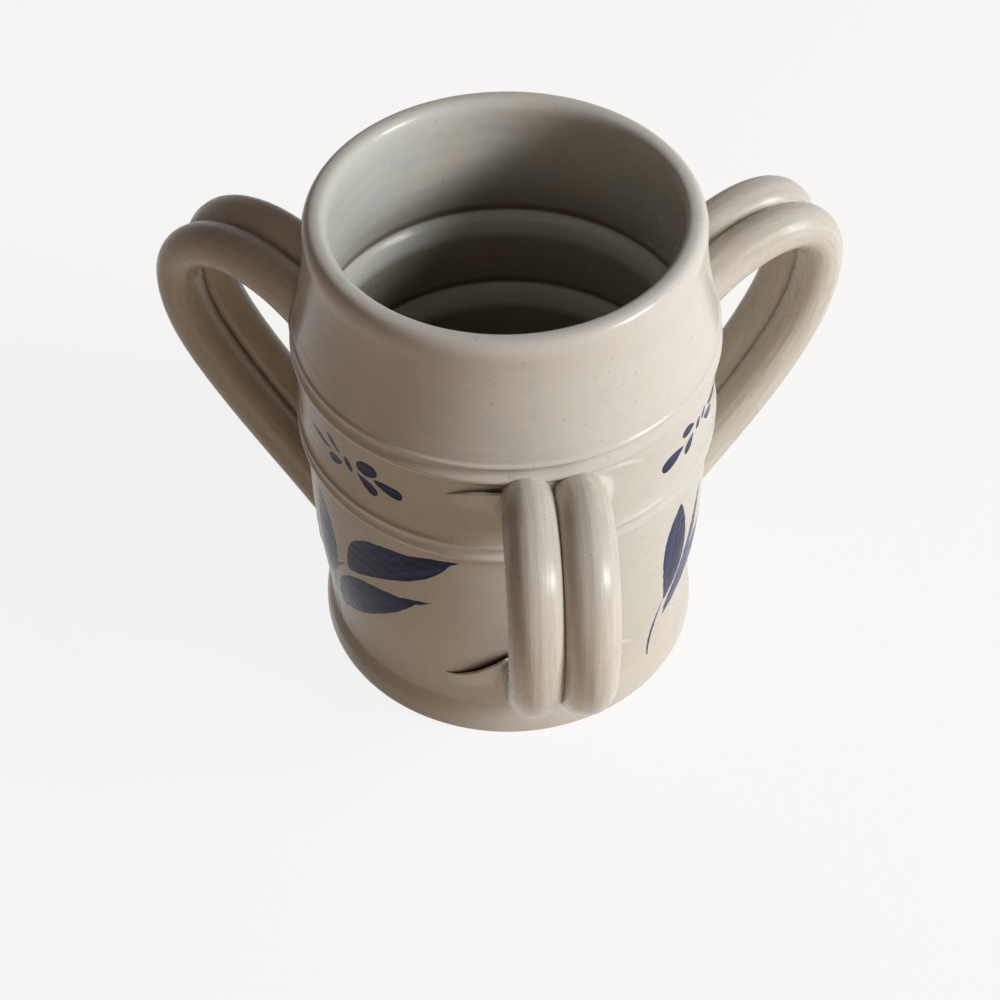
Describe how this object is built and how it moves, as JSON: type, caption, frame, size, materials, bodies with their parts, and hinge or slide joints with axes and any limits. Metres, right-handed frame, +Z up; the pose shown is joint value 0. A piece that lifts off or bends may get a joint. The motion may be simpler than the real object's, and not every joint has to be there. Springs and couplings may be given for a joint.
{
  "type": "three-handled mug",
  "caption": "Thrown stoneware drinking mug with turned cordons, and loop handles of paired round coils luted at intervals round its wall.",
  "frame": {"origin": "centre of the flat foot face, on the axis that the body was thrown on", "axes": "+Z up along the throwing axis from the foot to the rim, -Y towards the front handle, +X towards the right handle's side"},
  "size_m": [0.1684, 0.1376, 0.127],
  "materials": {
    "body_glaze": "satin-gloss putty-grey glaze with fine pits, specks and blue brushwork",
    "coil_glaze": "the same glaze, with lengthwise streaks from pulling the coils",
    "luting_glaze": "the same glaze over smeared luting clay"
  },
  "bodies": {
    "root": {"thrown_body": "body_glaze", "front_coil_left": "coil_glaze", "front_coil_right": "coil_glaze", "right_coil_front": "coil_glaze", "right_coil_back": "coil_glaze", "left_coil_back": "coil_glaze", "left_coil_front": "coil_glaze", "front_upper_luting": "luting_glaze", "front_lower_luting": "luting_glaze", "right_upper_luting": "luting_glaze", "right_lower_luting": "luting_glaze", "left_upper_luting": "luting_glaze", "left_lower_luting": "luting_glaze"}
  },
  "joints": []
}
